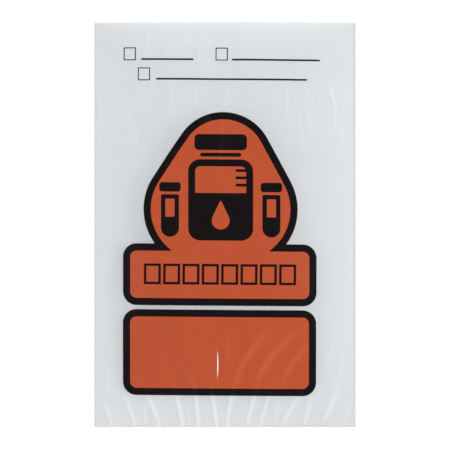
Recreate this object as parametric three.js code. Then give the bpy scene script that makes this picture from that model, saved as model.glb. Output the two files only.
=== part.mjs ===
// A flat specimen transport bag of clear polyethylene film, lying on its back and holding a little air.
// Two sheets of film are welded to each other along both sides and the bottom, and the top is the open mouth.
// Millimetres. +X runs across the bag, +Y towards the mouth and +Z up. The origin is under the bag's middle.
import * as THREE from 'three';

// The bag as it was cut and welded
const bagWidth = 152.4;
const bagLength = 235.6;
const filmGauge = 0.05;
const sideWeldWidth = 1.5;
const bottomWeldWidth = 1.5;

// The air inside: how far the front film stands off the back film
const crownHeight = 9;
const mouthHeight = 7;
const crownFromBottom = 104;
const sideFullness = 3;
const bottomFullness = 2.6;
const mouthFall = 2;

// The mesh of the front film, between the welds
const stepsAcross = 20;
const stepsAlong = 26;

// Height of the air gap from one side weld to the other, as a share of its height on the centre line
function shareAcross(x) {
  const pocketHalfWidth = bagWidth / 2 - sideWeldWidth;
  const offCentre = Math.min(Math.abs(x) / pocketHalfWidth, 1);
  return 1 - offCentre ** sideFullness;
}

// Height of the air gap on the centre line: it rises from the bottom weld to the crown and falls to the mouth
function heightAlong(y) {
  const fromBottom = y + bagLength / 2;
  const climb = (fromBottom - bottomWeldWidth) / (crownFromBottom - bottomWeldWidth);
  if (climb <= 0) {
    return 0;
  }
  if (climb < 1) {
    return crownHeight * (1 - (1 - climb) ** bottomFullness);
  }
  const towardsMouth = (fromBottom - crownFromBottom) / (bagLength - crownFromBottom);
  return crownHeight + (mouthHeight - crownHeight) * towardsMouth ** mouthFall;
}

// Grid lines from one edge of the bag to the other: the outermost strips are the welds, and the rest are even
function gridLines(length, steps, lowWeld, highWeld) {
  const low = -length / 2 + lowWeld;
  const high = length / 2 - highWeld;
  const lines = [];
  if (lowWeld > 0) {
    lines.push(-length / 2);
  }
  for (let step = 0; step <= steps; step += 1) {
    lines.push(low + (high - low) * (step / steps));
  }
  if (highWeld > 0) {
    lines.push(length / 2);
  }
  return lines;
}

// A closed sheet of film over a grid. Its two faces are cut along the same diagonals, because film
// this thin would otherwise poke through itself. The diagonals mirror about the middle of the bag.
function sheetGeometry(xLines, yLines, undersideAt) {
  const positions = [];
  for (const lift of [0, filmGauge]) {
    for (const y of yLines) {
      for (const x of xLines) {
        positions.push(x, y, undersideAt(x, y) + lift);
      }
    }
  }
  const under = ([column, row]) => row * xLines.length + column;
  const over = (corner) => xLines.length * yLines.length + under(corner);
  const triangles = [];
  const addQuad = (a, b, c, d) => triangles.push(a, b, c, a, c, d);

  const lastColumn = xLines.length - 1;
  const lastRow = yLines.length - 1;
  for (let row = 0; row < lastRow; row += 1) {
    for (let column = 0; column < lastColumn; column += 1) {
      const corners = [[column, row], [column + 1, row], [column + 1, row + 1], [column, row + 1]];
      if (xLines[column] + xLines[column + 1] > 0) {
        corners.push(corners.shift());
      }
      const [a, b, c, d] = corners;
      addQuad(over(a), over(b), over(c), over(d));
      addQuad(under(a), under(d), under(c), under(b));
    }
  }

  const addRim = (from, to) => addQuad(under(from), under(to), over(to), over(from));
  for (let column = 0; column < lastColumn; column += 1) {
    addRim([column, 0], [column + 1, 0]);
    addRim([column + 1, lastRow], [column, lastRow]);
  }
  for (let row = 0; row < lastRow; row += 1) {
    addRim([0, row + 1], [0, row]);
    addRim([lastColumn, row], [lastColumn, row + 1]);
  }

  const geometry = new THREE.BufferGeometry();
  geometry.setAttribute('position', new THREE.Float32BufferAttribute(positions, 3));
  geometry.setIndex(triangles);
  geometry.computeVertexNormals();
  return geometry;
}

function polyethylene(colour, opacity) {
  return new THREE.MeshStandardMaterial({
    color: colour,
    roughness: 0.25,
    metalness: 0,
    transparent: true,
    opacity,
  });
}

// The back film lies flat on what the bag rests on
function backFilm() {
  const geometry = new THREE.BoxGeometry(bagWidth, bagLength, filmGauge);
  const mesh = new THREE.Mesh(geometry, polyethylene(0xdde1e4, 0.35));
  mesh.name = 'back_film';
  mesh.position.z = filmGauge / 2;
  return mesh;
}

// The front film is flat on the back film at the welds, and is lifted by the air between them
function frontFilm() {
  const xLines = gridLines(bagWidth, stepsAcross, sideWeldWidth, sideWeldWidth);
  const yLines = gridLines(bagLength, stepsAlong, bottomWeldWidth, 0);
  const undersideAt = (x, y) => filmGauge + shareAcross(x) * heightAlong(y);
  const geometry = sheetGeometry(xLines, yLines, undersideAt);
  const mesh = new THREE.Mesh(geometry, polyethylene(0xdde1e4, 0.35));
  mesh.name = 'front_film';
  return mesh;
}

const bag = new THREE.Group();
bag.add(backFilm(), frontFilm());

export default bag;
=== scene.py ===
"""Dresses the packed frame of a clear specimen transport bag: its films, welds and print, in a studio."""

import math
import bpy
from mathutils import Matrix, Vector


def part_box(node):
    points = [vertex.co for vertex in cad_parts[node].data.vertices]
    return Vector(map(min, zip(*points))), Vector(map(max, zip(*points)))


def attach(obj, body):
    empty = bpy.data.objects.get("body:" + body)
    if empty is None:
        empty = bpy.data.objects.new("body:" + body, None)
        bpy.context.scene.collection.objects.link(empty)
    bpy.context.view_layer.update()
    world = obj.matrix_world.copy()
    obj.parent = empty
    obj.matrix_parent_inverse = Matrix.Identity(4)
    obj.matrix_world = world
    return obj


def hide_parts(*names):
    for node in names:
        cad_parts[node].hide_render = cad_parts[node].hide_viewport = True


bl_info = {
    "name": "Specimen Transport Bag",
    "version": (1, 0, 0),
    "blender": (4, 5, 0),
    "location": "View3D > Sidebar > Specimen Bag",
    "description": "Builds the films, welds and print of a clear specimen bag around its packed frame",
    "category": "Object",
}

from collections import namedtuple

import bpy
import numpy as np
from bpy.props import FloatProperty, FloatVectorProperty, IntProperty
from mathutils import Vector

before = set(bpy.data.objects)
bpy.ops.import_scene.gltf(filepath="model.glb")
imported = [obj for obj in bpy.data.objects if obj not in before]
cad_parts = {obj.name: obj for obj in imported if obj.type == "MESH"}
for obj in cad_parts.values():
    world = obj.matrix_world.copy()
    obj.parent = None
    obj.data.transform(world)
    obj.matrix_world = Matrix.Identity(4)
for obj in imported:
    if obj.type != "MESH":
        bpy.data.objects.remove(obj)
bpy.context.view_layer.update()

MM = 0.001
BODY = "root"

# Where the frame's two films lie
back_low, back_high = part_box("back_film")
front_low, front_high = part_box("front_film")
HALF_WIDTH = back_high.x
HALF_LENGTH = back_high.y
GAUGE = back_high.z - back_low.z
CROWN = front_high.z - front_low.z - GAUGE

# A fold in the front film, in millimetres: where it starts, bends and ends, how high it stands,
# and how far its flanks reach at its start and at its end
Fold = namedtuple("Fold", "foot bend tip height foot_reach tip_reach")

# Folds that fan out from the bottom weld, where the film was gathered
BOTTOM_FOLDS = (
    Fold((-66.1, -117.2), (-68.2, -109.0), (-72.0, -97.0), 0.28, 1.3, 1.8),
    Fold((-52.4, -117.2), (-55.0, -108.5), (-59.8, -95.0), 0.32, 1.4, 1.9),
    Fold((-46.0, -117.2), (-46.4, -110.0), (-47.5, -101.0), 0.15, 1.3, 1.6),
    Fold((-38.0, -117.2), (-41.3, -107.5), (-48.0, -91.0), 0.34, 1.4, 2.0),
    Fold((-24.9, -117.2), (-26.4, -107.0), (-31.2, -87.0), 0.36, 1.4, 2.0),
    Fold((-20.1, -117.2), (-21.2, -112.0), (-22.6, -105.0), 0.12, 1.1, 1.3),
    Fold((-15.5, -117.2), (-16.3, -107.0), (-18.6, -83.0), 0.34, 1.4, 1.9),
    Fold((-4.7, -117.2), (-6.2, -107.5), (-8.6, -87.0), 0.42, 1.3, 1.8),
    Fold((-0.8, -117.2), (-1.6, -112.5), (-2.8, -106.0), 0.12, 1.0, 1.2),
    Fold((1.7, -117.2), (2.4, -107.0), (7.4, -84.0), 0.34, 1.4, 2.0),
    Fold((13.3, -117.2), (14.9, -107.0), (21.4, -86.0), 0.36, 1.4, 2.1),
    Fold((20.9, -117.0), (23.0, -106.5), (30.0, -89.0), 0.28, 1.4, 2.1),
    Fold((28.4, -116.2), (30.5, -107.5), (33.5, -97.0), 0.15, 1.4, 1.8),
    Fold((33.6, -115.8), (38.5, -107.0), (47.5, -92.0), 0.25, 1.8, 2.5),
    Fold((46.3, -115.8), (48.0, -108.5), (51.8, -96.0), 0.28, 1.5, 2.0),
    Fold((57.5, -114.5), (61.5, -105.0), (68.0, -90.0), 0.24, 1.8, 2.4),
    Fold((69.3, -115.0), (71.0, -110.0), (73.0, -101.0), 0.15, 1.4, 1.6),
)

# Softer folds where the fan runs on under the print and up the sides, and one at the print's peak
PANEL_FOLDS = (
    Fold((5.2, -97.0), (13.6, -75.0), (37.0, -48.0), 0.26, 2.2, 3.6),
    Fold((17.0, -97.0), (28.2, -74.5), (54.0, -54.0), 0.28, 2.2, 3.6),
    Fold((31.0, -95.0), (41.0, -77.5), (57.0, -62.0), 0.24, 2.0, 3.2),
    Fold((1.4, -82.0), (1.0, -69.0), (0.0, -56.0), 0.13, 1.8, 2.0),
    Fold((-9.9, -77.0), (-11.6, -70.0), (-14.0, -63.0), 0.08, 1.6, 1.8),
    Fold((-18.0, -96.0), (-19.5, -90.0), (-23.5, -80.0), 0.16, 1.8, 2.0),
    Fold((-70.0, -104.0), (-68.6, -86.0), (-70.4, -64.0), 0.13, 2.0, 2.2),
    Fold((57.2, -86.0), (60.0, -77.5), (63.8, -67.0), 0.14, 1.8, 2.0),
    Fold((60.5, -101.0), (66.0, -88.0), (69.8, -71.0), 0.14, 2.2, 2.4),
    Fold((-3.2, 35.0), (-2.2, 48.0), (-0.8, 66.0), 0.22, 1.1, 1.5),
)

# The one fold that was pressed sharp, with a painted highlight along its crest: a thin white glint line
SHARP_FOLD = Fold((-5.1, -97.5), (-4.2, -79.0), (-5.5, -58.5), 0.26, 0.5, 0.45)
# Where along the bag the painted glint on the sharp fold starts and ends
PAINTED_GLINT_LOW = -90.5 * MM
PAINTED_GLINT_HIGH = -72.0 * MM

# Short slack folds under the mouth
MOUTH_FOLDS = (
    Fold((-27.8, 86.0), (-31.8, 71.5), (-30.2, 54.0), 0.24, 1.1, 1.5),
    Fold((-16.6, 82.0), (-17.2, 73.8), (-16.4, 64.0), 0.17, 1.1, 1.2),
    Fold((3.0, 81.5), (0.6, 74.0), (-2.8, 64.5), 0.19, 1.0, 1.4),
    Fold((35.6, 88.0), (35.9, 74.0), (35.0, 57.0), 0.24, 1.1, 1.4),
    Fold((45.2, 85.0), (46.8, 78.0), (48.4, 69.0), 0.24, 1.0, 1.2),
    Fold((47.0, 72.0), (48.4, 61.0), (49.2, 48.0), 0.22, 1.1, 1.5),
    Fold((53.2, 80.0), (54.4, 70.5), (53.8, 60.0), 0.16, 1.1, 1.2),
    Fold((59.6, 84.0), (61.9, 75.5), (64.8, 65.0), 0.29, 0.9, 1.3),
    Fold((63.2, 69.0), (63.8, 61.0), (62.6, 50.0), 0.18, 1.1, 1.4),
    Fold((65.8, 63.0), (67.2, 53.5), (66.6, 42.0), 0.17, 1.1, 1.4),
    Fold((41.2, 68.0), (44.0, 55.0), (44.9, 39.0), 0.16, 1.4, 1.8),
    Fold((-55.4, 73.0), (-55.9, 64.0), (-55.4, 54.0), 0.18, 1.1, 1.3),
    Fold((-50.0, 58.0), (-51.8, 49.5), (-50.6, 38.0), 0.16, 1.3, 1.5),
    Fold((-14.0, 107.0), (-15.2, 99.0), (-14.2, 89.0), 0.16, 1.1, 1.4),
    Fold((-44.4, 117.0), (-45.0, 109.0), (-44.2, 99.0), 0.15, 1.2, 1.4),
    Fold((29.4, 116.5), (29.9, 108.5), (29.0, 99.0), 0.16, 1.2, 1.4),
)

# Where the sharp fold needs a finer mesh across the bag, and how fine, in millimetres
SHARP_FOLD_SIDES = (-7.0, -2.6)
SHARP_FOLD_PITCH = 0.2

# How a fold's section and its whitening (part stress whitening, part painted highlight) go: how far its
# flanks dip, how much narrower than the fold its pale crest is, and the height in millimetres at which the
# crest is fully pale
FLANK_DIP = 0.45
CREST_SHARE = 0.65
FULL_CREST_HEIGHT = 0.34

# How strongly the softer folds are strained, next to the fan and the sharp fold
# The strain pales their crests: partly stress whitening, partly a painted highlight
PANEL_STRAIN = 0.6
MOUTH_STRAIN = 0.36

# Where the painted highlight on the sharp fold starts, as a strain, and how quickly and how far it fades
# out
PAINTED_GLINT_STRAIN = 0.32
PAINTED_GLINT_ONSET = 0.25
PAINTED_GLINT_TAPER = 5 * MM

# The back film under the fan: how much of it shows as height and as strain, and how much of the
# air gap it may fill
# Its strain pales it as in the front film: partly stress whitening, partly a painted highlight
BACK_LIFT = 0.30
BACK_STRAIN = 0.35
BACK_ROOM = 0.5

# Outlines of the print, in millimetres: the circles that the upper panel's peak is stretched round,
# as middle and radius, and its band and the lower panel, as left, right, bottom and top
PEAK_CIRCLES = ((-0.95, 36.3, 29.1), (-13.4, 9.0, 33.8), (8.3, 9.2, 33.8))
UPPER_BAND = (-59.2, 53.1, -46.8, -11.0)
LOWER_PANEL = (-59.3, 52.9, -99.2, -49.2)

# Fields that the layers of ink are cut from, in millimetres: left, bottom, right and top
UPPER_PANEL_FIELD = (-58, -46, 52, 64)
LOWER_PANEL_FIELD = (-58, -98, 52, -50)
UPPER_BORDER_FIELD = (-61, -49, 55, 67)
LOWER_BORDER_FIELD = (-61, -101, 55, -47)
SIGN_FIELD = (-39.5, -10.5, 34.5, 54)

# Step from one layer of ink to the next, in thicknesses of a layer
LAYER_STEP = 1.25

# Height that the flat marks are dropped from onto the film
DROP_HEIGHT = 50 * MM

# The weld bead: the step along it, and its half width before it swells, as a share of its width
BEAD_STEP = 0.8 * MM
BEAD_HALF_SHARE = 0.42

# Printed marks, in millimetres: the middles of the tick boxes, each write-on line's left end,
# right end and height, and the middle of the row of character cells
TICK_BOXES = ((-55.3, 99.4), (-1.9, 99.1), (-47.0, 87.7))
WRITE_ON_LINES = ((-48.6, -18.3, 96.2), (4.1, 55.1, 95.7), (-39.9, 47.5, 84.5))
CELLS_MIDDLE = (-2.9, -28.6)

# Broad swells in the slack film: wavelength across and along in metres, turn and share of the height,
# and how far from the side and bottom edges they reach their full height
SWELLS = (
    (0.071, 0.118, 0.4, 0.34),
    (0.046, 0.157, 2.1, 0.26),
    (0.033, 0.083, 4.0, 0.18),
    (-0.027, 0.066, 1.2, 0.12),
    (0.021, 0.049, 5.3, 0.10),
)
SWELL_FROM_SIDE = 22 * MM
SWELL_FROM_BOTTOM = 50 * MM


class FilmSettings(bpy.types.PropertyGroup):
    """Sizes and looks of the two sheets of film."""

    side_weld: FloatProperty(
        name="Side Weld", description="Width of the melted strip along each side",
        default=1.5 * MM, unit="LENGTH")
    bottom_weld: FloatProperty(
        name="Bottom Weld", description="Width of the melted strip along the bottom",
        default=1.5 * MM, unit="LENGTH")
    weld_gap: FloatProperty(
        name="Weld Gap", description="Hair gap kept between the two skins where they are welded",
        default=0.01 * MM, unit="LENGTH")
    mouth_height: FloatProperty(
        name="Mouth Height", description="How far the mouth stands open in its middle",
        default=7 * MM, unit="LENGTH")
    crown_from_bottom: FloatProperty(
        name="Crown From Bottom", description="Distance from the bottom edge to the highest point",
        default=104 * MM, unit="LENGTH")
    side_fullness: FloatProperty(
        name="Side Fullness", description="How squarely the film rises from the side welds", default=3.0)
    bottom_fullness: FloatProperty(
        name="Bottom Fullness", description="How squarely the film rises from the bottom weld", default=2.6)
    mouth_fall: FloatProperty(
        name="Mouth Fall", description="How late the film sinks on its way to the mouth", default=2.0)
    swell_height: FloatProperty(
        name="Swell Height", description="Height of the broad swells in the slack film",
        default=0.5 * MM, unit="LENGTH")
    fold_strength: FloatProperty(
        name="Fold Strength", description="Multiplies the height of every fold", default=1.0, min=0, max=2)
    pitch_across: FloatProperty(
        name="Pitch Across", description="Spacing of the front film's mesh across the bag",
        default=0.62 * MM, unit="LENGTH")
    pitch_along: FloatProperty(
        name="Pitch Along", description="Spacing of the front film's mesh along the bag",
        default=1.32 * MM, unit="LENGTH")
    haze: FloatProperty(
        name="Haze", description="Cover of one surface of the clear film", default=0.34, subtype="FACTOR")
    # Fold whitening is partly stress whitening and partly a painted highlight on the fold crests
    fold_whitening_and_highlight: FloatProperty(
        name="Fold Whitening", description="Cover that a fold adds where the film is strained",
        default=0.08, subtype="FACTOR")
    film_colour: FloatVectorProperty(
        name="Film Colour", description="Milky tone of the clear film", subtype="COLOR",
        size=3, min=0, max=1, default=(0.791, 0.819, 0.838))
    weld_colour: FloatVectorProperty(
        name="Weld Colour", description="Paler tone of the film where it is welded", subtype="COLOR",
        size=3, min=0, max=1, default=(0.865, 0.862, 0.858))


class WeldSettings(bpy.types.PropertyGroup):
    """Sizes of the bead that the hot wire leaves along three edges."""

    bead_width: FloatProperty(
        name="Bead Width", description="Width of the melted bead", default=0.6 * MM, unit="LENGTH")
    bead_height: FloatProperty(
        name="Bead Height", description="Thickness of the melted bead", default=0.2 * MM, unit="LENGTH")
    bead_inset: FloatProperty(
        name="Bead Inset", description="Distance of the bead's middle from the bag's edge",
        default=0.8 * MM, unit="LENGTH")
    unevenness: FloatProperty(
        name="Unevenness", description="How much the bead swells and thins along its length",
        default=0.22, subtype="FACTOR")
    seed: IntProperty(name="Seed", description="Pattern of the bead's swelling", default=4)


class PrintSettings(bpy.types.PropertyGroup):
    """Sizes and colours of the ink on the front film."""

    border: FloatProperty(
        name="Border", description="Width of the black border round the orange panels",
        default=4.16 * MM, unit="LENGTH")
    corner: FloatProperty(
        name="Corner", description="Outer corner radius of the panels", default=7.9 * MM, unit="LENGTH")
    trap: FloatProperty(
        name="Trap", description="How far the orange runs on under the black",
        default=0.4 * MM, unit="LENGTH")
    askew: FloatProperty(
        name="Askew", description="Drop of the printed lines over their length, as a share", default=0.0075)
    ink_lift: FloatProperty(
        name="Ink Lift", description="Height of the ink's underside over the film",
        default=0.02 * MM, unit="LENGTH")
    ink_thickness: FloatProperty(
        name="Ink Thickness", description="Thickness of one layer of ink", default=0.02 * MM, unit="LENGTH")
    box_width: FloatProperty(
        name="Box Width", description="Width of a tick box", default=6.55 * MM, unit="LENGTH")
    box_height: FloatProperty(
        name="Box Height", description="Height of a tick box", default=6.9 * MM, unit="LENGTH")
    box_stroke: FloatProperty(
        name="Box Stroke", description="Line width of a tick box", default=0.55 * MM, unit="LENGTH")
    rule_stroke: FloatProperty(
        name="Rule Stroke", description="Thickness of a write-on line", default=1.0 * MM, unit="LENGTH")
    cell_count: IntProperty(name="Cells", description="Number of character cells", default=8, min=1)
    cell_width: FloatProperty(
        name="Cell Width", description="Width of a character cell", default=8.4 * MM, unit="LENGTH")
    cell_height: FloatProperty(
        name="Cell Height", description="Height of a character cell", default=10.6 * MM, unit="LENGTH")
    cell_pitch: FloatProperty(
        name="Cell Pitch", description="Distance from one cell to the next",
        default=11.2 * MM, unit="LENGTH")
    cell_stroke: FloatProperty(
        name="Cell Stroke", description="Line width of a character cell", default=1.4 * MM, unit="LENGTH")
    orange: FloatVectorProperty(
        name="Orange", description="Colour of the panels", subtype="COLOR",
        size=3, min=0, max=1, default=(0.405, 0.063, 0.019))
    black: FloatVectorProperty(
        name="Black", description="Colour of the borders and marks", subtype="COLOR",
        size=3, min=0, max=1, default=(0.0036, 0.0022, 0.0032))


class StudioSettings(bpy.types.PropertyGroup):
    """The plain floor, the soft light and the camera."""

    floor_size: FloatProperty(
        name="Floor Size", description="Length of the floor's sides", default=8.0, unit="LENGTH")
    floor_drop: FloatProperty(
        name="Floor Drop", description="Hair gap between the bag and the floor",
        default=0.05 * MM, unit="LENGTH")
    sky_strength: FloatProperty(
        name="Sky Strength", description="Brightness of the soft surround", default=1.2)
    key_strength: FloatProperty(
        name="Key Strength", description="Strength of the key light", default=1.8)
    key_elevation: FloatProperty(
        name="Key Elevation", description="Height of the key light over the floor",
        subtype="ANGLE", default=math.radians(31))
    key_azimuth: FloatProperty(
        name="Key Azimuth", description="Turn of the key light from the bag's right towards its mouth",
        subtype="ANGLE", default=math.radians(4))
    key_softness: FloatProperty(
        name="Key Softness", description="Angle that the key light fills", subtype="ANGLE",
        default=math.radians(24))
    fill_strength: FloatProperty(
        name="Fill Strength", description="Strength of the light from the other side", default=0.95)
    fill_elevation: FloatProperty(
        name="Fill Elevation", description="Height of the fill light over the floor",
        subtype="ANGLE", default=math.radians(22))
    fill_softness: FloatProperty(
        name="Fill Softness", description="Angle that the fill light fills", subtype="ANGLE",
        default=math.radians(70))
    camera_height: FloatProperty(
        name="Camera Height", description="Height of the camera over the floor", default=1.6, unit="LENGTH")
    view_width: FloatProperty(
        name="View Width", description="Width of the picture on the floor",
        default=262.1 * MM, unit="LENGTH")


class Wire:
    """An output of a node. Sums, differences and products of wires add their own Math nodes."""

    def __init__(self, graph, socket):
        self.graph = graph
        self.socket = socket

    def calculate(self, operation, *values):
        return self.graph.node("ShaderNodeMath", {"operation": operation}, dict(enumerate(values)))

    def __add__(self, other):
        return self.calculate("ADD", self, other)

    def __sub__(self, other):
        return self.calculate("SUBTRACT", self, other)

    def __rsub__(self, other):
        return self.calculate("SUBTRACT", other, self)

    def __mul__(self, other):
        return self.calculate("MULTIPLY", self, other)

    def __abs__(self):
        return self.calculate("ABSOLUTE", self)

    __radd__ = __add__
    __rmul__ = __mul__


class Graph:
    """The nodes of one material, world or Geometry Nodes tree."""

    def __init__(self, tree):
        tree.nodes.clear()
        self.tree = tree

    def node(self, kind, settings=None, sockets=None, output=0):
        """Adds a node, sets its settings first and then its sockets, and returns one of its outputs."""
        made = self.tree.nodes.new(kind)
        for name, value in (settings or {}).items():
            if name == "stops":
                self.set_stops(made.color_ramp.elements, value)
            else:
                setattr(made, name, value)
        for name, value in (sockets or {}).items():
            for wire in value if isinstance(value, list) else [value]:
                if isinstance(wire, Wire):
                    self.tree.links.new(wire.socket, made.inputs[name])
                else:
                    made.inputs[name].default_value = wire
        return Wire(self, made.outputs[output]) if len(made.outputs) else made

    @staticmethod
    def set_stops(elements, stops):
        while len(elements) < len(stops):
            elements.new(0.5)
        for element, (place, colour) in zip(elements, stops):
            element.position = place
            element.color = (*colour, 1) if len(colour) == 3 else colour

    def blend(self, factor, first, second):
        """One colour fading into another."""
        sockets = {0: factor, 6: padded_colour(first), 7: padded_colour(second)}
        return self.node("ShaderNodeMix", {"data_type": "RGBA"}, sockets, output=2)


def padded_colour(colour):
    return colour if isinstance(colour, Wire) else (*colour, 1)


def new_material(name):
    material = bpy.data.materials.new(name)
    material.use_nodes = True
    return material, Graph(material.node_tree)


def place_on_film(graph, scale):
    """Object coordinates stretched by scale, for patterns that run with the film."""
    place = graph.node("ShaderNodeTexCoord", output="Object")
    return graph.node("ShaderNodeMapping", {}, {"Vector": place, "Scale": scale})


def noise(graph, vector, detail=2.0):
    return graph.node(
        "ShaderNodeTexNoise", {}, {"Vector": vector, "Scale": 1.0, "Detail": detail}, output="Fac")


def drawn_film_grain(graph):
    """Fine lines that the extruder leaves along the film, with a little orange peel."""
    lines = noise(graph, place_on_film(graph, (1400, 26, 26)), detail=3.0)
    peel = noise(graph, place_on_film(graph, (420, 420, 420)))
    return lines * 0.7 + peel * 0.3


def welded_strip(graph, outwards, edge, width):
    """Fades from 0 to 1 where a place moves outwards into the strip of that width along an edge."""
    return graph.node("ShaderNodeMapRange", {"interpolation_type": "SMOOTHSTEP"}, {
        "Value": outwards, "From Min": edge - width, "From Max": edge - 0.8 * width}, output="Result")


def welded_strips(graph, film):
    """1 in the melted strips along the sides and the bottom, and 0 in the clear film between them."""
    place = graph.node("ShaderNodeTexCoord", output="Object")
    x = graph.node("ShaderNodeSeparateXYZ", {}, {"Vector": place}, output="X")
    y = graph.node("ShaderNodeSeparateXYZ", {}, {"Vector": place}, output="Y")
    sides = welded_strip(graph, abs(x), HALF_WIDTH, film.side_weld)
    bottom = welded_strip(graph, 0 - y, HALF_LENGTH, film.bottom_weld)
    return sides.calculate("MAXIMUM", sides, bottom)


def clear_film_material(film):
    """Clear, slightly milky polyethylene. Welds whiten it, and folds whiten it, partly by stress and partly
    as a painted highlight on their crests.
    """
    material, graph = new_material("bag_film")
    fold = graph.node("ShaderNodeAttribute", {"attribute_name": "fold"}, output="Fac")
    cloud = noise(graph, place_on_film(graph, (34, 17, 30)), detail=3.0)
    streaks = noise(graph, place_on_film(graph, (240, 16, 16)), detail=3.0)
    cover = film.haze + (cloud - 0.5) * 0.080 + (streaks - 0.5) * 0.024
    # Whiter, more covering film on the fold crests: partly stress whitening, partly a painted highlight
    cover = cover + fold * film.fold_whitening_and_highlight
    colour = graph.blend(fold, tuple(film.film_colour), (0.88, 0.895, 0.905))
    colour = graph.blend(welded_strips(graph, film), colour, tuple(film.weld_colour))
    grain = graph.node("ShaderNodeBump", {}, {
        "Strength": 0.04, "Distance": 0.02 * MM, "Height": drawn_film_grain(graph)})
    roughness = 0.12 + cloud * 0.10
    shader = graph.node("ShaderNodeBsdfPrincipled", {}, {
        "Base Color": colour, "Roughness": roughness, "IOR": 1.51, "Alpha": cover, "Normal": grain})
    graph.node("ShaderNodeOutputMaterial", {}, {"Surface": shader})
    return material


def weld_material(film):
    """Melted film: the same plastic, thicker and less clear."""
    material, graph = new_material("bag_weld")
    swell = noise(graph, place_on_film(graph, (160, 160, 160)))
    colour = graph.blend(swell, (0.60, 0.60, 0.595), (0.78, 0.775, 0.77))
    cover = 0.22 + swell * 0.22
    shader = graph.node("ShaderNodeBsdfPrincipled", {}, {
        "Base Color": colour, "Roughness": 0.2 + swell * 0.15, "IOR": 1.51, "Alpha": cover})
    graph.node("ShaderNodeOutputMaterial", {}, {"Surface": shader})
    return material


def orange_ink_material(ink):
    """Flexographic orange, a little mottled, with fine painted reflection streaks. Paler on the folds and
    white along the sharp one, as painted highlights.
    """
    material, graph = new_material("bag_orange")
    fold = graph.node("ShaderNodeAttribute", {"attribute_name": "fold"}, output="Fac")
    crack = graph.node("ShaderNodeAttribute", {"attribute_name": "crack"}, output="Fac")
    mottle = noise(graph, place_on_film(graph, (210, 150, 150)), detail=4.0)
    # Fine lighter streaks along the bag in the orange's tone: a painted reflection
    painted_reflection_streaks = noise(graph, place_on_film(graph, (620, 18, 18)))
    shade = (mottle - 0.5) * 0.55 + (painted_reflection_streaks - 0.5) * 0.35 + 0.5
    deep = tuple(0.90 * c for c in ink.orange)
    bright = tuple(1.10 * c for c in ink.orange)
    # Paler orange on the folds is a painted highlight, and white along the sharp fold is a painted glint
    painted_fold_highlight = (0.55, 0.130, 0.052)
    colour = graph.blend(shade, deep, bright)
    colour = graph.blend(fold * 0.62, colour, painted_fold_highlight)
    colour = graph.blend(crack, colour, (0.95, 0.93, 0.92))
    grain = graph.node("ShaderNodeBump", {}, {
        "Strength": 0.10, "Distance": 0.02 * MM, "Height": drawn_film_grain(graph)})
    shader = graph.node("ShaderNodeBsdfPrincipled", {}, {
        "Base Color": colour, "Roughness": 0.34 + mottle * 0.12, "IOR": 1.45,
        "Specular IOR Level": 0.35, "Normal": grain})
    graph.node("ShaderNodeOutputMaterial", {}, {"Surface": shader})
    return material


def black_ink_material(ink):
    """Dense black with a warm cast, worn a little brown where it was rubbed, and paler along the folds as a
    painted highlight.
    """
    material, graph = new_material("bag_black")
    fold = graph.node("ShaderNodeAttribute", {"attribute_name": "fold"}, output="Fac")
    mottle = noise(graph, place_on_film(graph, (260, 190, 190)), detail=4.0)
    rubbed = graph.node("ShaderNodeValToRGB", {"stops": ((0.66, (0, 0, 0)), (0.80, (1, 1, 1)))}, {
        "Fac": noise(graph, place_on_film(graph, (95, 42, 42)), detail=6.0)})
    black = tuple(ink.black)
    warm = (0.0085, 0.0050, 0.0048)
    colour = graph.blend(mottle, black, warm)
    # Brown where rubbed is wear, while the paler tone along the folds is a painted highlight
    colour = graph.blend(rubbed * 0.5 + fold * 0.35, colour, (0.034, 0.020, 0.018))
    shader = graph.node("ShaderNodeBsdfPrincipled", {}, {
        "Base Color": colour, "Roughness": 0.28 + mottle * 0.12, "IOR": 1.45, "Specular IOR Level": 0.11})
    graph.node("ShaderNodeOutputMaterial", {}, {"Surface": shader})
    return material


def floor_material():
    """Plain pale card."""
    material, graph = new_material("studio_floor")
    tooth = noise(graph, place_on_film(graph, (60, 60, 60)), detail=3.0)
    colour = graph.blend(tooth, (0.895, 0.895, 0.895), (0.905, 0.905, 0.905))
    shader = graph.node("ShaderNodeBsdfPrincipled", {}, {
        "Base Color": colour, "Roughness": 0.9, "Specular IOR Level": 0.0})
    graph.node("ShaderNodeOutputMaterial", {}, {"Surface": shader})
    return material


def shared_material(name, make, settings):
    """The material of that name, made once."""
    return bpy.data.materials.get(name) or make(settings)


def smooth_step(share):
    share = np.clip(share, 0, 1)
    return share * share * (3 - 2 * share)


def air_gap(film, x, y):
    """Height of the air between the films, by the same rule as the frame's front film."""
    off_centre = np.minimum(np.abs(x) / (HALF_WIDTH - film.side_weld), 1)
    across = 1 - off_centre ** film.side_fullness
    from_bottom = y + HALF_LENGTH
    climb = (from_bottom - film.bottom_weld) / (film.crown_from_bottom - film.bottom_weld)
    rise = CROWN * (1 - (1 - np.clip(climb, 0, 1)) ** film.bottom_fullness)
    past_crown = (from_bottom - film.crown_from_bottom) / (2 * HALF_LENGTH - film.crown_from_bottom)
    fall = (film.mouth_height - CROWN) * np.clip(past_crown, 0, 1) ** film.mouth_fall
    return across * (rise + fall)


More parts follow.
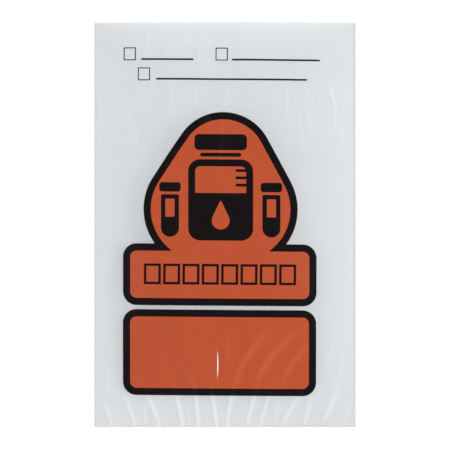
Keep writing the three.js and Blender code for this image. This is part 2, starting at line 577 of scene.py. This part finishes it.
def distance_to_fold(fold, x, y, steps=28):
    """Distance of each point from a fold's curve, and how far along the curve its nearest point is."""
    foot, bend, tip = (np.array(point) * MM for point in (fold.foot, fold.bend, fold.tip))
    control = 2 * bend - (foot + tip) / 2
    share = np.linspace(0, 1, steps + 1)[:, None]
    line = (1 - share) ** 2 * foot + 2 * share * (1 - share) * control + share ** 2 * tip
    nearest = np.full(x.shape, np.inf)
    along = np.zeros(x.shape)
    for step in range(steps):
        start, span = line[step], line[step + 1] - line[step]
        reach = ((x - start[0]) * span[0] + (y - start[1]) * span[1]) / (span @ span)
        reach = np.clip(reach, 0, 1)
        apart = np.hypot(x - start[0] - reach * span[0], y - start[1] - reach * span[1])
        closer = apart < nearest
        nearest = np.where(closer, apart, nearest)
        along = np.where(closer, (step + reach) / steps, along)
    return nearest, along


def folded(folds, x, y, foot_share=0.03, tip_share=0.5):
    """Height that folds add at each point, and how strained the film is there, from 0 to 1."""
    height = np.zeros(x.shape)
    strain = np.zeros(x.shape)
    for fold in folds:
        felt_within = max(fold.foot_reach, fold.tip_reach) * 4 * MM
        ends = np.array((fold.foot, fold.bend, fold.tip)) * MM
        low = ends.min(0) - felt_within
        high = ends.max(0) + felt_within
        near = (x > low[0]) & (x < high[0]) & (y > low[1]) & (y < high[1])
        apart, along = distance_to_fold(fold, x[near], y[near])
        flank = apart / ((fold.foot_reach + (fold.tip_reach - fold.foot_reach) * along) * MM)
        fade = smooth_step(along / foot_share) * smooth_step((1 - along) / tip_share)
        ridge = np.exp(-flank ** 2) * (1 - FLANK_DIP * flank ** 2)
        height[near] += fold.height * MM * fade * ridge
        crest = np.exp(-(flank / CREST_SHARE) ** 2) * fade * min(fold.height / FULL_CREST_HEIGHT, 1)
        strain[near] = np.maximum(strain[near], crest)
    return height, strain


def swell(film, x, y):
    """Broad low waves of slack film, which die out towards the welds."""
    height = np.zeros(x.shape)
    for across, along, turn, share in SWELLS:
        height += share * np.sin(math.tau * (x / across + y / along) + turn)
    from_side = smooth_step((HALF_WIDTH - np.abs(x)) / SWELL_FROM_SIDE)
    from_bottom = smooth_step((y + HALF_LENGTH) / SWELL_FROM_BOTTOM)
    return film.swell_height * height * from_side * from_bottom


def front_surface(film, x, y):
    """Height of the front film's outer face, its strain and the painted white glint along its sharp fold.
    """
    fan, fan_strain = folded(BOTTOM_FOLDS, x, y)
    soft, soft_strain = folded(PANEL_FOLDS, x, y, foot_share=0.3, tip_share=0.5)
    slack, slack_strain = folded(MOUTH_FOLDS, x, y, foot_share=0.4, tip_share=0.4)
    sharp, sharp_strain = folded((SHARP_FOLD,), x, y, foot_share=0.45, tip_share=0.6)
    relief = film.fold_strength * (fan + soft + slack + sharp)
    seat = back_high.z + film.weld_gap + GAUGE
    height = seat + np.maximum(air_gap(film, x, y) + swell(film, x, y) + relief, 0)
    softer_strain = np.maximum(PANEL_STRAIN * soft_strain, MOUTH_STRAIN * slack_strain)
    strain = np.maximum.reduce((fan_strain, softer_strain, sharp_strain))
    # A painted highlight: a white glint line along the sharp fold's crest
    crack = smooth_step((sharp_strain - PAINTED_GLINT_STRAIN) / PAINTED_GLINT_ONSET)
    crack = crack * smooth_step((y - PAINTED_GLINT_LOW) / PAINTED_GLINT_TAPER) * smooth_step((PAINTED_GLINT_HIGH - y) / PAINTED_GLINT_TAPER)
    return height, strain, crack


def back_surface(film, x, y):
    """Height of the back film's upper face: it lies on the floor, a little lifted by the fan of folds."""
    fan, strain = folded(BOTTOM_FOLDS, x, y)
    lift = np.minimum(BACK_LIFT * np.maximum(fan, 0), BACK_ROOM * air_gap(film, x, y))
    return back_high.z + lift, BACK_STRAIN * strain


def grid_lines(low, high, pitch, dense=None, dense_pitch=None):
    """Even grid lines from low to high, closer together inside the dense stretch."""
    count = max(2, round((high - low) / pitch))
    lines = np.linspace(low, high, count + 1)
    if dense is None:
        return lines
    least_gap = 0.45 * dense_pitch
    kept = lines[(lines < dense[0] - least_gap) | (lines > dense[1] + least_gap)]
    extra = np.linspace(*dense, max(2, round((dense[1] - dense[0]) / dense_pitch)) + 1)
    return np.sort(np.concatenate((kept, extra)))


def sharp_fold_lines(low, high, pitch):
    """Grid lines across the bag that are dense enough for the sharp fold."""
    dense = [side * MM for side in SHARP_FOLD_SIDES]
    return grid_lines(low, high, pitch, dense, SHARP_FOLD_PITCH * MM)


def grid_triangles(columns, rows):
    """Corner numbers of the triangles of a grid whose points are numbered row by row."""
    first = (np.arange(rows - 1)[:, None] * columns + np.arange(columns - 1)).ravel()
    lower = np.stack((first, first + 1, first + columns + 1), 1)
    upper = np.stack((first, first + columns + 1, first + columns), 1)
    return np.stack((lower, upper), 1).reshape(-1, 3)


def cut_to_outline(x, y, triangles, outside):
    """The part of flat triangles where outside is below zero, as points and polygons."""
    snap = 0.01 * MM
    outside = np.where(np.abs(outside) < snap, np.where(outside < 0, -snap, snap), outside)
    inner = outside < 0
    inner_count = inner[triangles].sum(1)
    points = np.stack((x, y), 1)
    cut_points = []
    cut_numbers = {}

    def crossing(a, b):
        key = (a, b) if a < b else (b, a)
        if key not in cut_numbers:
            a, b = key
            share = outside[a] / (outside[a] - outside[b])
            cut_numbers[key] = len(points) + len(cut_points)
            cut_points.append(points[a] + share * (points[b] - points[a]))
        return cut_numbers[key]

    polygons = triangles[inner_count == 3].tolist()
    for triangle in triangles[(inner_count == 1) | (inner_count == 2)].tolist():
        polygon = []
        for a, b in zip(triangle, triangle[1:] + triangle[:1]):
            if inner[a]:
                polygon.append(a)
            if inner[a] != inner[b]:
                polygon.append(crossing(a, b))
        polygons.append(polygon)
    points = np.concatenate((points, np.array(cut_points).reshape(-1, 2)))
    used, numbers = np.unique(np.concatenate([np.array(p) for p in polygons]), return_inverse=True)
    sizes = np.cumsum([len(p) for p in polygons])[:-1]
    return points[used], [part.tolist() for part in np.split(numbers, sizes)]


def closed_layer(name, points, polygons, low, high, material, attributes):
    """A closed thin solid: the polygons at height high, the same ones at height low, and a rim."""
    count = len(points)
    vertices = np.concatenate((np.column_stack((points, low)), np.column_stack((points, high))))
    edges = {}
    for polygon in polygons:
        for a, b in zip(polygon, polygon[1:] + polygon[:1]):
            edges[(a, b)] = None
    rim = [(a, b, b + count, a + count) for a, b in edges if (b, a) not in edges]
    top = [[corner + count for corner in polygon] for polygon in polygons]
    bottom = [polygon[::-1] for polygon in polygons]
    mesh = bpy.data.meshes.new(name)
    mesh.from_pydata(vertices, [], top + bottom + rim)
    mesh.polygons.foreach_set("use_smooth", np.ones(len(mesh.polygons), bool))
    mesh.set_sharp_from_angle(angle=math.radians(50))
    for attribute_name, values in attributes.items():
        attribute = mesh.attributes.new(attribute_name, "FLOAT", "POINT")
        attribute.data.foreach_set("value", np.tile(values, 2).astype(np.float32))
    mesh.materials.append(material)
    mesh.update()
    piece = bpy.data.objects.new(name, mesh)
    bpy.context.scene.collection.objects.link(piece)
    return piece


def convex_outside(x, y, circles):
    """Signed distance from the convex outline round some circles, given as (x, y, radius)."""
    farthest = np.full(x.shape, -np.inf)
    for angle in np.radians(np.arange(0, 360, 1.5)):
        across, along = math.cos(angle), math.sin(angle)
        reach = max(cx * across + cy * along + radius for cx, cy, radius in circles)
        farthest = np.maximum(farthest, x * across + y * along - reach)
    return farthest


def box_outside(x, y, left, right, bottom, top, corner):
    """Signed distance from a rectangle with round corners."""
    beyond_x = np.abs(x - (left + right) / 2) - (right - left) / 2 + corner
    beyond_y = np.abs(y - (bottom + top) / 2) - (top - bottom) / 2 + corner
    outer = np.hypot(np.maximum(beyond_x, 0), np.maximum(beyond_y, 0))
    return outer + np.minimum(np.maximum(beyond_x, beyond_y), 0) - corner


def upper_panel_outside(ink, x, y):
    """Outline of the upper panel: a rounded peak that stands on a wide band."""
    level = y + ink.askew * x
    peak = convex_outside(x, level, np.array(PEAK_CIRCLES) * MM)
    band = box_outside(x, level, *(side * MM for side in UPPER_BAND), ink.corner)
    return np.minimum(peak, band)


def lower_panel_outside(ink, x, y):
    """Outline of the lower panel, a plain write-on field."""
    return box_outside(x, y + ink.askew * x, *(side * MM for side in LOWER_PANEL), ink.corner)


def ring_of(outside, width):
    """A band of that width just inside an outline."""
    return np.maximum(outside, -(outside + width))


def jar_outside(x, y):
    """Outline of a lidded sample jar with a scale, half full, with a drop left open in its sample."""
    lid = box_outside(x, y, -15.2 * MM, 15.2 * MM, 43.4 * MM, 52.6 * MM, 2.6 * MM)
    neck = box_outside(x, y, -11.8 * MM, 11.8 * MM, 39.6 * MM, 41.8 * MM, 0.8 * MM)
    glass = box_outside(x, y, -18.8 * MM, 18.8 * MM, -9.0 * MM, 38.0 * MM, 7.0 * MM)
    drop = convex_outside(x, y, ((0, 2.6 * MM, 5.2 * MM), (0, 13.6 * MM, 0.4 * MM)))
    sample = np.maximum.reduce((glass, y - 18.5 * MM, -drop))
    scale = [
        box_outside(x, y, 8.6 * MM, 16.0 * MM, mark * MM, (mark + 1.6) * MM, 0.6 * MM)
        for mark in (22.4, 26.6, 30.8)]
    return np.minimum.reduce((lid, neck, ring_of(glass, 4.0 * MM), sample, *scale))


def tube_outside(x, y, middle, foot):
    """Outline of a capped sample tube, part full, that stands beside the jar."""
    x, y = x - middle, y - foot
    cap = box_outside(x, y, -6.2 * MM, 6.2 * MM, 26.2 * MM, 31.6 * MM, 1.6 * MM)
    round_end = box_outside(x, y, -5.2 * MM, 5.2 * MM, 0, 24.6 * MM, 5.15 * MM)
    square_end = box_outside(x, y, -5.2 * MM, 5.2 * MM, 12.0 * MM, 24.6 * MM, 0.8 * MM)
    glass = np.minimum(round_end, square_end)
    sample = np.maximum(glass, y - 11.6 * MM)
    return np.minimum.reduce((cap, ring_of(glass, 2.5 * MM), sample))


def sample_sign_outside(ink, x, y):
    """A plain sign of sample containers: a jar between two tubes."""
    x = x + 2.5 * MM
    y = y + ink.askew * x
    left_tube = tube_outside(x, y, -29.4 * MM, -7.0 * MM)
    right_tube = tube_outside(x, y, 29.4 * MM, -7.0 * MM)
    return np.minimum.reduce((jar_outside(x, y), left_tube, right_tube))


def layer_lift(ink, layer):
    """Height of a layer of ink over the film. Layer 0 is the lowest."""
    return ink.ink_lift + layer * LAYER_STEP * ink.ink_thickness


def print_patch(name, outside, field, pitch, layer, material):
    """A layer of ink on the front film, inside the outline that outside(x, y) gives the distance from."""
    film = bpy.context.scene.bag_film
    ink = bpy.context.scene.bag_print
    left, bottom, right, top = (side * MM for side in field)
    x_lines = sharp_fold_lines(left, right, pitch)
    y_lines = grid_lines(bottom, top, pitch)
    x, y = (part.ravel() for part in np.meshgrid(x_lines, y_lines))
    triangles = grid_triangles(len(x_lines), len(y_lines))
    points, polygons = cut_to_outline(x, y, triangles, outside(x, y))
    surface, strain, crack = front_surface(film, points[:, 0], points[:, 1])
    low = surface + layer_lift(ink, layer)
    high = low + ink.ink_thickness
    piece = closed_layer(name, points, polygons, low, high, material, {"fold": strain, "crack": crack})
    finish_piece(piece)


def finish_piece(piece, replaced=None):
    """Fastens a finished piece to the frame."""
    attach(piece, BODY)
    if replaced:
        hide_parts(replaced)


def sheet_piece(name, x_lines, y_lines, surface, gauge, material):
    """A whole sheet of film over a grid. surface gives its upper face's height and strain."""
    x, y = (part.ravel() for part in np.meshgrid(x_lines, y_lines))
    high, strain = surface(x, y)
    polygons = grid_triangles(len(x_lines), len(y_lines)).tolist()
    points = np.stack((x, y), 1)
    return closed_layer(name, points, polygons, high - gauge, high, material, {"fold": strain})


class SPECIMEN_BAG_OT_front_film(bpy.types.Operator):
    """Build the lofted and folded front film"""

    bl_idname = "specimen_bag.front_film"
    bl_label = "Front Film"

    def execute(self, context):
        film = context.scene.bag_film
        x_lines = sharp_fold_lines(-HALF_WIDTH, HALF_WIDTH, film.pitch_across)
        y_lines = grid_lines(-HALF_LENGTH, HALF_LENGTH, film.pitch_along)
        material = shared_material("bag_film", clear_film_material, film)
        piece = sheet_piece(
            "front_film_skin", x_lines, y_lines,
            lambda x, y: front_surface(film, x, y)[:2], GAUGE, material)
        finish_piece(piece, "front_film")
        return {"FINISHED"}


class SPECIMEN_BAG_OT_back_film(bpy.types.Operator):
    """Build the back film that lies on the floor"""

    bl_idname = "specimen_bag.back_film"
    bl_label = "Back Film"

    def execute(self, context):
        film = context.scene.bag_film
        x_lines = grid_lines(-HALF_WIDTH, HALF_WIDTH, 2 * film.pitch_across)
        y_lines = grid_lines(-HALF_LENGTH, HALF_LENGTH, 2 * film.pitch_along)
        material = shared_material("bag_film", clear_film_material, film)
        piece = sheet_piece(
            "back_film_skin", x_lines, y_lines, lambda x, y: back_surface(film, x, y), GAUGE, material)
        finish_piece(piece, "back_film")
        return {"FINISHED"}


def add_inputs(tree, inputs):
    """Adds named inputs to a Geometry Nodes tree, after its geometry."""
    tree.interface.new_socket("Geometry", in_out="INPUT", socket_type="NodeSocketGeometry")
    tree.interface.new_socket("Geometry", in_out="OUTPUT", socket_type="NodeSocketGeometry")
    for name, value in inputs.items():
        kind = {float: "Float", int: "Int", bpy.types.Material: "Material", bpy.types.Object: "Object"}
        socket = next(label for base, label in kind.items() if isinstance(value, base))
        tree.interface.new_socket(name, in_out="INPUT", socket_type="NodeSocket" + socket)


def grow(name, start, recipe, inputs):
    """Runs a Geometry Nodes recipe on a start mesh and returns the result as a plain piece."""
    tree = bpy.data.node_groups.new(name, "GeometryNodeTree")
    add_inputs(tree, inputs)
    graph = Graph(tree)
    entry = graph.tree.nodes.new("NodeGroupInput")
    result = recipe(graph, {socket.name: Wire(graph, socket) for socket in entry.outputs if socket.name})
    graph.node("NodeGroupOutput", {}, {"Geometry": result})
    piece = bpy.data.objects.new(name, start)
    bpy.context.scene.collection.objects.link(piece)
    modifier = piece.modifiers.new(name, "NODES")
    modifier.node_group = tree
    for item in tree.interface.items_tree:
        if item.in_out == "INPUT" and item.name in inputs:
            modifier[item.identifier] = inputs[item.name]
    depsgraph = bpy.context.evaluated_depsgraph_get()
    mesh = bpy.data.meshes.new_from_object(piece.evaluated_get(depsgraph), depsgraph=depsgraph)
    if not len(mesh.polygons):
        raise RuntimeError(f"{name} came out empty")
    piece.modifiers.clear()
    piece.data = mesh
    mesh.name = name
    return piece


def points_mesh(name, points, attributes=None):
    """A mesh of loose points, with values that a recipe can read."""
    mesh = bpy.data.meshes.new(name)
    mesh.from_pydata([(x, y, 0) for x, y in points], [], [])
    for attribute_name, values in (attributes or {}).items():
        attribute = mesh.attributes.new(attribute_name, "FLOAT", "POINT")
        attribute.data.foreach_set("value", np.array(values, np.float32))
    return mesh


def weld_bead_recipe(graph, given):
    """A bead along the start mesh's edges that swells and thins as it goes."""
    path = graph.node("GeometryNodeMeshToCurve", {}, {"Mesh": given["Geometry"]})
    path = graph.node("GeometryNodeResampleCurve", {"mode": "LENGTH"}, {"Curve": path, "Length": BEAD_STEP})
    spread = graph.node("ShaderNodeTexNoise", {"noise_dimensions": "4D"}, {
        "Scale": 260.0, "Detail": 2.0, "W": given["Seed"]}, output="Fac")
    thickness = 1 + (spread - 0.5) * 2 * given["Unevenness"]
    section = graph.node("GeometryNodeCurvePrimitiveCircle", {"mode": "RADIUS"}, {
        "Resolution": 10, "Radius": given["Bead Width"] * BEAD_HALF_SHARE})
    bead = graph.node("GeometryNodeCurveToMesh", {}, {
        "Curve": path, "Profile Curve": section, "Scale": thickness, "Fill Caps": True})
    flat = graph.node("ShaderNodeCombineXYZ", {}, {
        "X": 1.0, "Y": 1.0, "Z": given["Flatness"]})
    bead = graph.node("GeometryNodeTransform", {}, {"Geometry": bead, "Scale": flat})
    lift = graph.node("ShaderNodeCombineXYZ", {}, {"Z": given["Lift"]})
    bead = graph.node("GeometryNodeTransform", {}, {"Geometry": bead, "Translation": lift})
    bead = graph.node("GeometryNodeSetShadeSmooth", {}, {"Geometry": bead})
    bead = graph.node("GeometryNodeRealizeInstances", {}, {"Geometry": bead})
    return graph.node("GeometryNodeSetMaterial", {}, {"Geometry": bead, "Material": given["Material"]})


class SPECIMEN_BAG_OT_edge_welds(bpy.types.Operator):
    """Build the melted bead along the sides and the bottom"""

    bl_idname = "specimen_bag.edge_welds"
    bl_label = "Edge Welds"

    def execute(self, context):
        weld = context.scene.bag_weld
        material = shared_material("bag_weld", weld_material, context.scene.bag_film)
        right = HALF_WIDTH - weld.bead_inset
        left = -right
        bottom = -HALF_LENGTH + weld.bead_inset
        paths = {
            "left_weld_bead": ((left, bottom + weld.bead_width), (left, HALF_LENGTH)),
            "right_weld_bead": ((right, bottom + weld.bead_width), (right, HALF_LENGTH)),
            "bottom_weld_bead": ((left, bottom), (right, bottom)),
        }
        for number, (name, ends) in enumerate(paths.items()):
            start = bpy.data.meshes.new(name)
            start.from_pydata([(x, y, 0) for x, y in ends], [(0, 1)], [])
            piece = grow(name, start, weld_bead_recipe, {
                "Bead Width": float(weld.bead_width),
                "Flatness": float(weld.bead_height / weld.bead_width),
                "Lift": float(0.55 * weld.bead_height + back_low.z),
                "Unevenness": float(weld.unevenness),
                "Seed": float(weld.seed + number),
                "Material": material,
            })
            finish_piece(piece)
        return {"FINISHED"}


class SPECIMEN_BAG_OT_orange_panels(bpy.types.Operator):
    """Print the two orange panels"""

    bl_idname = "specimen_bag.orange_panels"
    bl_label = "Orange Panels"

    def execute(self, context):
        ink = context.scene.bag_print
        material = shared_material("bag_orange", orange_ink_material, ink)
        inset = ink.border - ink.trap
        print_patch(
            "orange_upper_panel", lambda x, y: upper_panel_outside(ink, x, y) + inset,
            UPPER_PANEL_FIELD, 0.85 * MM, 0, material)
        print_patch(
            "orange_lower_panel", lambda x, y: lower_panel_outside(ink, x, y) + inset,
            LOWER_PANEL_FIELD, 0.65 * MM, 0, material)
        return {"FINISHED"}


class SPECIMEN_BAG_OT_black_borders(bpy.types.Operator):
    """Print the black borders of both panels"""

    bl_idname = "specimen_bag.black_borders"
    bl_label = "Black Borders"

    def execute(self, context):
        ink = context.scene.bag_print
        material = shared_material("bag_black", black_ink_material, ink)
        print_patch(
            "black_upper_border", lambda x, y: ring_of(upper_panel_outside(ink, x, y), ink.border),
            UPPER_BORDER_FIELD, 0.6 * MM, 1, material)
        print_patch(
            "black_lower_border", lambda x, y: ring_of(lower_panel_outside(ink, x, y), ink.border),
            LOWER_BORDER_FIELD, 0.6 * MM, 1, material)
        return {"FINISHED"}


class SPECIMEN_BAG_OT_sample_sign(bpy.types.Operator):
    """Print the plain sign of a jar between two tubes"""

    bl_idname = "specimen_bag.sample_sign"
    bl_label = "Sample Sign"

    def execute(self, context):
        ink = context.scene.bag_print
        material = shared_material("bag_black", black_ink_material, ink)
        print_patch(
            "black_sample_sign", lambda x, y: sample_sign_outside(ink, x, y),
            SIGN_FIELD, 0.45 * MM, 1, material)
        return {"FINISHED"}


def on_the_film(graph, given, flat):
    """Drops a flat mesh onto the front film and gives it the ink's thickness, closed all round."""
    place = graph.node("GeometryNodeInputPosition")
    high = graph.node("ShaderNodeVectorMath", {"operation": "ADD"}, {0: place, 1: (0, 0, DROP_HEIGHT)})
    film = graph.node("GeometryNodeObjectInfo", {"transform_space": "RELATIVE"}, {
        "Object": given["Film"]}, output="Geometry")
    hit = graph.node("GeometryNodeRaycast", {}, {
        "Target Geometry": film, "Source Position": high, "Ray Direction": (0, 0, -1.0),
        "Ray Length": 2 * DROP_HEIGHT}, output="Hit Position")
    laid = graph.node("GeometryNodeSetPosition", {}, {"Geometry": flat, "Position": hit})
    lift = graph.node("ShaderNodeCombineXYZ", {}, {"Z": given["Lift"]})
    under = graph.node("GeometryNodeSetPosition", {}, {"Geometry": laid, "Offset": lift})
    rise = graph.node("ShaderNodeCombineXYZ", {}, {"Z": 1.0})
    over = graph.node("GeometryNodeExtrudeMesh", {"mode": "FACES"}, {
        "Mesh": under, "Offset": rise, "Offset Scale": given["Thickness"], "Individual": False})
    floor = graph.node("GeometryNodeFlipFaces", {}, {"Mesh": under})
    solid = graph.node("GeometryNodeJoinGeometry", {}, {"Geometry": [over, floor]})
    solid = graph.node("GeometryNodeMergeByDistance", {}, {"Geometry": solid, "Distance": 0.004 * MM})
    solid = graph.node("GeometryNodeRealizeInstances", {}, {"Geometry": solid})
    return graph.node("GeometryNodeSetMaterial", {}, {"Geometry": solid, "Material": given["Material"]})


def outlined_cells_recipe(graph, given):
    """A frame of one stroke's width at each start point, laid on the film."""
    half = given["Stroke"] * 0.5
    sides = []
    for sign in (1, -1):
        side = graph.node("GeometryNodeCurvePrimitiveQuadrilateral", {"mode": "RECTANGLE"}, {
            "Width": given["Width"] + half * (2 * sign), "Height": given["Height"] + half * (2 * sign)})
        sides.append(graph.node("GeometryNodeSubdivideCurve", {}, {"Curve": side, "Cuts": 7}))
    both = graph.node("GeometryNodeJoinGeometry", {}, {"Geometry": sides})
    cell = graph.node("GeometryNodeFillCurve", {"mode": "TRIANGLES"}, {"Curve": both})
    turn = graph.node("ShaderNodeCombineXYZ", {}, {"Z": given["Turn"]})
    cells = graph.node("GeometryNodeInstanceOnPoints", {}, {
        "Points": given["Geometry"], "Instance": cell, "Rotation": turn})
    cells = graph.node("GeometryNodeRealizeInstances", {}, {"Geometry": cells})
    return on_the_film(graph, given, cells)


def ruled_lines_recipe(graph, given):
    """A straight write-on line at each start point, as long as its length value says."""
    line = graph.node("GeometryNodeMeshGrid", {}, {
        "Size X": 1.0, "Size Y": given["Stroke"], "Vertices X": 60, "Vertices Y": 2})
    length = graph.node("GeometryNodeInputNamedAttribute", {"data_type": "FLOAT"}, {"Name": "length"})
    size = graph.node("ShaderNodeCombineXYZ", {}, {"X": length, "Y": 1.0, "Z": 1.0})
    turn = graph.node("ShaderNodeCombineXYZ", {}, {"Z": given["Turn"]})
    lines = graph.node("GeometryNodeInstanceOnPoints", {}, {
        "Points": given["Geometry"], "Instance": line, "Scale": size, "Rotation": turn})
    lines = graph.node("GeometryNodeRealizeInstances", {}, {"Geometry": lines})
    return on_the_film(graph, given, lines)


def mark_inputs(context, stroke, **more):
    """The inputs that every recipe for printed marks takes."""
    ink = context.scene.bag_print
    return {
        "Film": bpy.data.objects["front_film_skin"],
        "Stroke": float(stroke),
        "Turn": -math.atan(ink.askew),
        "Lift": float(layer_lift(ink, 1)),
        "Thickness": float(ink.ink_thickness),
        "Material": shared_material("bag_black", black_ink_material, ink),
        **more,
    }


class SPECIMEN_BAG_OT_tick_boxes(bpy.types.Operator):
    """Print the three tick boxes and the write-on lines beside them"""

    bl_idname = "specimen_bag.tick_boxes"
    bl_label = "Tick Boxes"

    def execute(self, context):
        ink = context.scene.bag_print
        boxes = points_mesh("tick_boxes", [(x * MM, y * MM) for x, y in TICK_BOXES])
        piece = grow("tick_boxes", boxes, outlined_cells_recipe, mark_inputs(
            context, ink.box_stroke, Width=float(ink.box_width), Height=float(ink.box_height)))
        finish_piece(piece)
        starts = [((left + right) / 2 * MM, y * MM) for left, right, y in WRITE_ON_LINES]
        lengths = [(right - left) * MM for left, right, y in WRITE_ON_LINES]
        rules = points_mesh("write_on_lines", starts, {"length": lengths})
        piece = grow("write_on_lines", rules, ruled_lines_recipe, mark_inputs(context, ink.rule_stroke))
        finish_piece(piece)
        return {"FINISHED"}


class SPECIMEN_BAG_OT_character_cells(bpy.types.Operator):
    """Print the row of blank character cells on the band"""

    bl_idname = "specimen_bag.character_cells"
    bl_label = "Character Cells"

    def execute(self, context):
        ink = context.scene.bag_print
        middle_x, middle_y = (place * MM for place in CELLS_MIDDLE)
        steps = np.arange(ink.cell_count) - (ink.cell_count - 1) / 2
        offsets = steps * ink.cell_pitch
        centres = [(middle_x + offset, middle_y - ink.askew * offset) for offset in offsets]
        cells = points_mesh("character_cells", centres)
        piece = grow("character_cells", cells, outlined_cells_recipe, mark_inputs(
            context, ink.cell_stroke, Width=float(ink.cell_width), Height=float(ink.cell_height)))
        finish_piece(piece)
        return {"FINISHED"}


def build_sky(strength):
    """A soft surround that is bright at the sides and dim overhead, where the camera stands."""
    world = bpy.data.worlds.new("studio_surround")
    world.use_nodes = True
    graph = Graph(world.node_tree)
    way = graph.node("ShaderNodeTexCoord", output="Generated")
    steepness = graph.node("ShaderNodeSeparateXYZ", {}, {"Vector": way}, output="Z")
    greys = ((0.0, 0.92), (0.70, 0.92), (0.93, 0.28), (1.0, 0.22))
    stops = [(place, (grey, grey, grey)) for place, grey in greys]
    shade = graph.node("ShaderNodeValToRGB", {"stops": stops}, {"Fac": steepness})
    light = graph.node("ShaderNodeBackground", {}, {"Color": shade, "Strength": strength})
    graph.node("ShaderNodeOutputWorld", {}, {"Surface": light})
    return world


def hang_light(scene, name, strength, softness, elevation, azimuth):
    """A distant soft light. azimuth turns from the bag's right towards its mouth."""
    light = bpy.data.lights.new(name, "SUN")
    light.energy = strength
    light.angle = softness
    flat = math.cos(elevation)
    towards = Vector((flat * math.cos(azimuth), flat * math.sin(azimuth), math.sin(elevation)))
    holder = bpy.data.objects.new(name, light)
    holder.rotation_euler = (-towards).to_track_quat("-Z", "Y").to_euler()
    holder.location = towards
    scene.collection.objects.link(holder)


class SPECIMEN_BAG_OT_studio(bpy.types.Operator):
    """Lay the floor, set the light and hang the camera straight above the bag"""

    bl_idname = "specimen_bag.studio"
    bl_label = "Studio"

    def execute(self, context):
        scene = context.scene
        studio = scene.bag_studio
        half = studio.floor_size / 2
        floor = bpy.data.meshes.new("studio_floor")
        corners = [(-half, -half), (half, -half), (half, half), (-half, half)]
        floor.from_pydata([(x, y, -studio.floor_drop) for x, y in corners], [], [(0, 1, 2, 3)])
        floor.materials.append(floor_material())
        floor_object = bpy.data.objects.new("studio_floor", floor)
        scene.collection.objects.link(floor_object)

        scene.world = build_sky(studio.sky_strength)
        hang_light(
            scene, "key_light", studio.key_strength, studio.key_softness,
            studio.key_elevation, studio.key_azimuth)
        hang_light(
            scene, "fill_light", studio.fill_strength, studio.fill_softness,
            studio.fill_elevation, studio.key_azimuth + math.pi)

        camera = bpy.data.cameras.new("camera")
        camera.lens = camera.sensor_width * studio.camera_height / studio.view_width
        camera_object = bpy.data.objects.new("camera", camera)
        camera_object.location = (0, 0, studio.camera_height)
        scene.collection.objects.link(camera_object)
        scene.camera = camera_object

        scene.view_settings.view_transform = "Standard"
        scene.cycles.transparent_max_bounces = 48
        return {"FINISHED"}


STEPS = (
    SPECIMEN_BAG_OT_studio,
    SPECIMEN_BAG_OT_back_film,
    SPECIMEN_BAG_OT_front_film,
    SPECIMEN_BAG_OT_edge_welds,
    SPECIMEN_BAG_OT_orange_panels,
    SPECIMEN_BAG_OT_black_borders,
    SPECIMEN_BAG_OT_sample_sign,
    SPECIMEN_BAG_OT_tick_boxes,
    SPECIMEN_BAG_OT_character_cells,
)

SETTINGS = {
    "bag_film": FilmSettings,
    "bag_weld": WeldSettings,
    "bag_print": PrintSettings,
    "bag_studio": StudioSettings,
}


class SPECIMEN_BAG_PT_sidebar(bpy.types.Panel):
    """The bag's pieces and settings in the 3D view's sidebar"""

    bl_idname = "SPECIMEN_BAG_PT_sidebar"
    bl_label = "Specimen Bag"
    bl_space_type = "VIEW_3D"
    bl_region_type = "UI"
    bl_category = "Specimen Bag"

    def draw(self, context):
        for step in STEPS:
            self.layout.operator(step.bl_idname)
        for name, group in SETTINGS.items():
            box = self.layout.box()
            box.label(text=group.__doc__)
            for setting in group.__annotations__:
                box.prop(getattr(context.scene, name), setting)


def register():
    for name, group in SETTINGS.items():
        bpy.utils.register_class(group)
        setattr(bpy.types.Scene, name, bpy.props.PointerProperty(type=group))
    for cls in (*STEPS, SPECIMEN_BAG_PT_sidebar):
        bpy.utils.register_class(cls)


def unregister():
    for cls in (SPECIMEN_BAG_PT_sidebar, *reversed(STEPS)):
        bpy.utils.unregister_class(cls)
    for name, group in reversed(SETTINGS.items()):
        delattr(bpy.types.Scene, name)
        bpy.utils.unregister_class(group)


def main():
    register()
    for step in STEPS:
        group, name = step.bl_idname.split(".")
        getattr(getattr(bpy.ops, group), name)()


if __name__ == "__main__":
    main()
